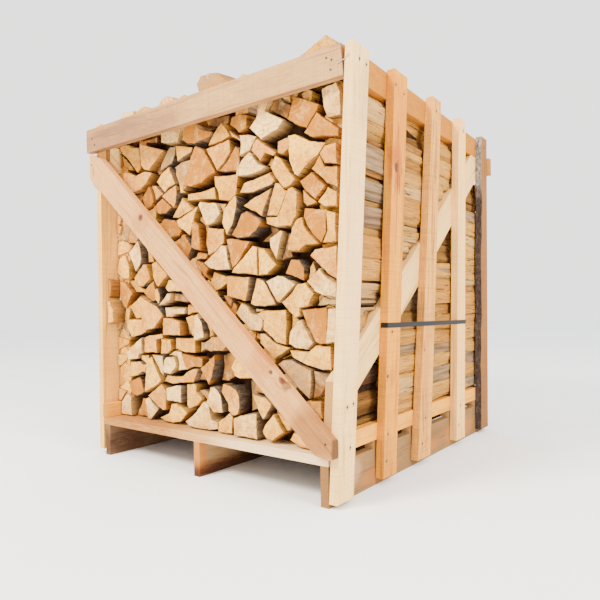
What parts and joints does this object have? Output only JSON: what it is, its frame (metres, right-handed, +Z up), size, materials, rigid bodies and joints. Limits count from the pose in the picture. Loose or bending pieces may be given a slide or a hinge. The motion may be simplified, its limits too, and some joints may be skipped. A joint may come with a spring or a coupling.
{
  "type": "crate of split beech firewood",
  "caption": "Open crate of sawn boards on skids with fork pockets, filled with rows of short split beech logs and heaped on top.",
  "frame": {"origin": "middle of the base on the floor, on the middle skid's underside, half way between the corner posts' front and back edges", "axes": "+X to the crate's right as seen from its front, +Y from the front to the back, +Z up"},
  "size_m": [1.0847, 1.1379, 1.226],
  "materials": {
    "pale": "sawn softwood, dry and unplaned, faintly pink",
    "cream": "sawn wood, dry and unplaned, cream",
    "tan": "sawn wood, dry and unplaned, tan",
    "orange": "sawn wood, dry and unplaned, orange-brown",
    "log": "split beech, rough, sawn ends",
    "strap": "smooth flat band, black"
  },
  "bodies": {
    "root": {"right_front_post": "cream", "right_second_slat": "orange", "right_third_slat": "tan", "right_fourth_slat": "cream", "right_back_post": "tan", "right_top_rail": "orange", "right_foot_rail": "cream", "right_brace": "cream", "left_back_post": "cream", "left_fourth_slat": "orange", "left_third_slat": "tan", "left_second_slat": "cream", "left_front_post": "tan", "left_top_rail": "orange", "left_foot_rail": "cream", "left_brace": "cream", "front_rail": "pale", "front_brace": "pale", "back_rail": "pale", "back_brace": "pale", "left_skid": "cream", "middle_skid": "cream", "right_skid": "cream", "deck_board_1": "cream", "deck_board_2": "tan", "deck_board_3": "tan", "deck_board_4": "tan", "deck_board_5": "tan", "strap": "strap", "log_row_1": "log", "log_row_2": "log", "log_row_3": "log", "log_row_4": "log", "top_log_1": "log", "top_log_2": "log", "top_log_3": "log", "top_log_4": "log", "top_log_5": "log", "top_log_6": "log", "top_log_7": "log", "top_log_row_2_1": "log", "top_log_row_2_2": "log", "top_log_row_2_3": "log", "top_log_row_2_4": "log", "top_log_row_2_5": "log", "top_log_row_2_6": "log", "top_log_row_2_7": "log", "top_log_row_3_1": "log", "top_log_row_3_2": "log", "top_log_row_3_3": "log", "top_log_row_3_4": "log", "top_log_row_3_5": "log", "top_log_row_3_6": "log", "top_log_row_4_1": "log", "top_log_row_4_2": "log", "top_log_row_4_3": "log", "top_log_row_4_4": "log", "top_log_row_4_5": "log", "top_log_row_4_6": "log"}
  },
  "joints": []
}
